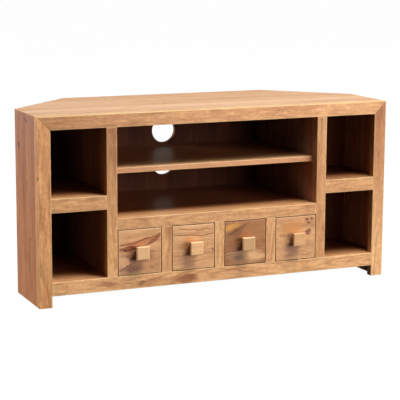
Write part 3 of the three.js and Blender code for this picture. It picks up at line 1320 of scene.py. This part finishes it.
def drawer_finishes() -> list[WoodFinish]:
    """The four figured drawer fronts, each with a painted shadow below and left of its knob.

    Returns:
        One finish a front, left to right.
    """
    patch, knot, line = MarkKind.PATCH, MarkKind.KNOT, MarkKind.LINE
    # the second colour is the grey-brown of the painted knob shadow
    rust, knob_shadow_brown = paint(150, 84, 48), paint(152, 104, 80)
    return [
        WoodFinish(
            "drawer_front_1", pale=paint(248, 202, 146), brown=paint(222, 167, 116), streak=BROWN,
            streaks=0.45, figure=1.3, mottling=0.62, specks=0.7, marks=(
                Mark(patch, (8, -40), (90, 46), paint(190, 134, 92), 0.8, turn=4, soft=0.9),
                # painted shadow of the knob, below and left of it, in these two patches
                Mark(patch, (-34, -32), (56, 42), knob_shadow_brown, 0.8, turn=18, soft=0.8),
                Mark(patch, (-22, -56), (40, 18), paint(128, 84, 70), 0.7, turn=8, soft=0.8),
                Mark(patch, (8, 29), (66, 9), paint(184, 114, 70), 0.9, turn=16, bend=1.6, soft=0.5),
                Mark(patch, (-40, 13), (40, 8), rust, 1.1, turn=6, soft=0.5),
                Mark(patch, (48, 36), (30, 7), rust, 1.0, turn=34, soft=0.5),
                Mark(line, (0, 33), (76, 3.0), paint(128, 66, 40), 1.0, turn=13, bend=1.5, ragged=0.8),
                Mark(line, (-4, 15), (72, 2.4), paint(122, 68, 46), 0.9, turn=11, bend=2.2, ragged=0.9),
                Mark(patch, (-62, -30), (28, 15), paint(222, 168, 122), 1.2, turn=-12, ragged=0.5, soft=0.3),
                Mark(line, (-48, -47), (26, 2.4), paint(112, 70, 58), 0.9, turn=34),
                Mark(line, (42, -50), (8, 3), DEEP_BROWN, 0.9, turn=-12),
                Mark(patch, (30, -16), (30, 16), paint(150, 104, 72), 0.6, turn=30),
            )),
        WoodFinish(
            "drawer_front_2", pale=paint(247, 201, 147), brown=paint(226, 174, 120), streak=BROWN,
            streaks=0.38, figure=1.2, mottling=0.60, specks=0.6, marks=(
                Mark(patch, (-16, 8), (32, 24), paint(206, 142, 84), 0.85),
                Mark(line, (2, 35), (76, 2.8), paint(140, 82, 50), 1.0, turn=-2, bend=1.6, ragged=0.6),
                Mark(line, (10, 52), (70, 2.4), paint(176, 114, 70), 0.8, turn=-4, bend=1.4, ragged=0.6),
                # painted shadow of the knob, below and left of it
                Mark(patch, (-18, -42), (34, 24), paint(178, 124, 92), 0.8, soft=0.9),
                Mark(line, (-30, -62), (36, 2.4), paint(180, 122, 80), 0.7, turn=8),
                Mark(patch, (66, -9), (3.8, 3.0), DEEP_BROWN, 1.2, ragged=0.1),
                Mark(patch, (66, -17), (3.6, 2.6), DEEP_BROWN, 1.2, ragged=0.1),
                Mark(line, (40, 0), (16, 2.6), paint(190, 128, 78), 0.9, turn=52),
            )),
        WoodFinish(
            "drawer_front_3", pale=paint(206, 152, 100), brown=paint(174, 120, 78), streak=paint(118, 72, 46),
            streaks=0.6, figure=1.3, mottling=0.7, specks=0.4, marks=(
                Mark(patch, (24, 34), (66, 34), paint(174, 118, 72), 0.9, turn=8),
                Mark(patch, (-50, 55), (34, 15), paint(218, 156, 78), 1.0, turn=12),
                Mark(patch, (0, 40), (80, 40), paint(160, 106, 66), 0.6, turn=10, soft=0.9),
                Mark(patch, (6, -48), (90, 34), paint(208, 158, 112), 0.8, turn=2, soft=1.0),
                Mark(patch, (-34, 34), (46, 16), paint(126, 80, 50), 0.8, turn=20, soft=0.9),
                Mark(line, (-24, 44), (40, 3), paint(106, 64, 40), 0.8, turn=24),
                Mark(patch, (-16, 18), (34, 14), paint(150, 92, 52), 0.8, turn=24, soft=0.9),
                # painted shadow of the knob, below and left of it, in these two patches
                Mark(patch, (-30, -36), (42, 26), paint(146, 108, 84), 0.8, turn=8, soft=0.9),
                Mark(patch, (-20, -48), (30, 14), paint(122, 90, 76), 0.7, turn=4, soft=0.9),
                Mark(line, (-30, -30), (44, 2.0), paint(216, 164, 112), 0.7, turn=2),
                Mark(line, (-36, -40), (40, 2.0), paint(200, 150, 104), 0.6, turn=3),
                Mark(patch, (40, -46), (50, 20), paint(232, 182, 128), 0.8, soft=0.9),
            )),
        WoodFinish(
            "drawer_front_4", pale=paint(240, 190, 136), brown=paint(218, 162, 112), streak=BROWN,
            streaks=0.42, figure=1.1, mottling=0.66, specks=0.7, marks=(
                Mark(patch, (-18, 34), (44, 26), paint(200, 138, 82), 0.95),
                Mark(patch, (48, 56), (24, 15), paint(190, 130, 88), 0.9),
                Mark(knot, (38, 61), (9, 7), DEEP_BROWN, 1.2, ragged=0.2),
                Mark(knot, (54, 62), (8, 6), DEEP_BROWN, 1.1, ragged=0.2),
                Mark(knot, (46, 49), (9, 7), DEEP_BROWN, 1.1, ragged=0.2),
                Mark(patch, (46, 17), (15, 13), paint(146, 88, 68), 1.2, ragged=0.5),
                # painted shadow of the knob, below and left of it
                Mark(patch, (-18, -40), (34, 30), paint(166, 118, 94), 1.0, soft=0.9),
                Mark(patch, (-46, 10), (18, 9), paint(190, 124, 76), 0.8, turn=8),
                Mark(patch, (38, -16), (26, 12), paint(190, 134, 96), 0.8, turn=12),
                Mark(line, (10, -58), (50, 2.4), paint(176, 118, 78), 0.7, turn=-4),
            )),
    ]

def finishes() -> list[WoodFinish | SteelFinish]:
    """Every finish of the cabinet.

    Returns:
        The finishes, named after the record's slots where one slot has one finish.
    """
    patch, knot, line = MarkKind.PATCH, MarkKind.KNOT, MarkKind.LINE
    frame_boards = {
        "pale": paint(254, 206, 145), "brown": paint(216, 153, 98), "streak": paint(166, 100, 60),
        "streaks": 0.52, "figure": 1.6, "mottling": 0.85,
    }
    side_boards = {
        "pale": paint(220, 160, 113), "brown": paint(186, 120, 82), "streak": paint(128, 70, 46),
        "stave": 0.066, "stave_contrast": 0.7, "streaks": 0.6, "mottling": 0.7,
        # colour of the painted shade on the panels' faces that look into the cabinet
        "inside": (0.62, 0.80, 0.92),
    }
    shelf_boards = {
        "pale": paint(240, 188, 130), "brown": paint(212, 150, 98), "streak": paint(160, 92, 54),
        "stave": 0.085, "streaks": 0.5, "coat": 0.3, "shine": 0.4, "roughness": 0.42,
        # colour of the painted shade on the shelves' faces that look into the cabinet
        "inside": (0.34, 0.19, 0.12),
    }
    back_boards = {
        "pale": paint(190, 134, 92), "brown": paint(146, 98, 66), "streak": paint(96, 62, 42),
        "stave": 0.085, "streaks": 0.6, "wear_and_highlight": 0.2, "roughness": 0.6, "coat": 0.0, "shine": 0.06,
    }
    return [
        WoodFinish("frame_wood", **frame_boards),
        # painted highlight on the top rail's top face
        WoodFinish("top_rail_wood", **frame_boards, up_highlight=0.5),
        # painted shadow on the right shelf rail's faces that look into the cabinet, from its front edge
        WoodFinish(
            "right_rail_wood", **frame_boards, shade_depth=0.045, shade_from=-0.235, inside=(0.40, 0.30, 0.22),
        ),
        # painted shade on the bottom rail's faces that look into the cabinet, from its front edge; the marks
        # are stains
        WoodFinish(
            "bottom_rail_wood", **frame_boards, shade_depth=0.05, shade_from=-0.23, inside=(0.66, 0.45, 0.30), marks=(
                Mark(patch, (-110, -4), (42, 13), paint(158, 92, 58), 0.8),
                Mark(patch, (-262, -4), (14, 12), paint(140, 98, 60), 0.7),
                Mark(patch, (-380, 2), (40, 12), paint(158, 98, 62), 0.7),
                Mark(line, (60, 4), (70, 3), paint(170, 110, 72), 0.8, turn=-8),
                Mark(line, (150, -6), (60, 3), paint(176, 114, 74), 0.7, turn=-10),
            )),
        WoodFinish("shelf_wood", **shelf_boards),
        # painted highlight on its top face, and painted shade that starts further back
        WoodFinish("middle_shelf_wood", **shelf_boards, shade_from=-0.165, up_highlight=0.8),
        WoodFinish("panel_wood", **side_boards),
        WoodFinish(
            "left_panel_wood", **side_boards, marks=(
                Mark(knot, (190, 62), (18, 10), DEEP_BROWN, 1.3, ragged=0.3),
                Mark(patch, (276, -14), (9, 16), paint(112, 56, 44), 1.2, ragged=0.7),
                Mark(patch, (60, 20), (120, 9), paint(146, 88, 60), 0.7),
                Mark(patch, (-150, -30), (90, 10), paint(150, 92, 62), 0.6),
            )),
        # the top's colours are paler than the frame's to paint a whitish sheen on it
        WoodFinish(
            "top_wood", pale=paint(255, 220, 180), brown=paint(236, 190, 144), streak=paint(200, 140, 96),
            stave=0.078, stave_contrast=0.45, streaks=0.55, shine=0.42, coat=0.2, mottling=0.55, marks=(
                Mark(line, (-410, -186), (80, 5), paint(170, 106, 76), 1.0, turn=1),
                Mark(patch, (-300, -170), (60, 8), paint(196, 136, 96), 0.8, turn=2),
                Mark(line, (120, 20), (160, 5), paint(190, 130, 92), 0.7, turn=-1),
            )),
        # the backs get dark painted shade on their faces that look into the cabinet, the angled backs a
        # lighter one
        WoodFinish("shade_wood", **back_boards, inside=(0.20, 0.14, 0.13)),
        WoodFinish("angled_back_wood", **back_boards, inside=(0.44, 0.36, 0.34)),
        *drawer_finishes(),
        WoodFinish(
            "drawer_box_wood", pale=paint(216, 168, 112), brown=paint(186, 130, 80), streak=BROWN,
            streaks=0.35, roughness=0.6, coat=0.0, wear_and_highlight=0.2,
        ),
        WoodFinish(
            "knob_wood", pale=paint(250, 206, 152), brown=paint(234, 182, 126), streak=paint(200, 140, 90),
            streaks=0.4, pins=0.0, mottling=0.35,
        ),
        SteelFinish("screw_steel"),
    ]


def main() -> None:
    """Builds the studio and the cabinet."""
    logging.basicConfig(level=logging.INFO, format="%(message)s")
    Studio().build()
    shop = Workshop.open(finishes())
    Carcass().build(shop)
    knobs = (Grain.Z, 0.2), (Grain.X, 0.08), (Grain.Y, -0.1), (Grain.X, 0.4)
    for number, (grain, tone) in enumerate(knobs, 1):
        Drawer(number, grain, tone).build(shop)


if __name__ == "__main__":
    main()
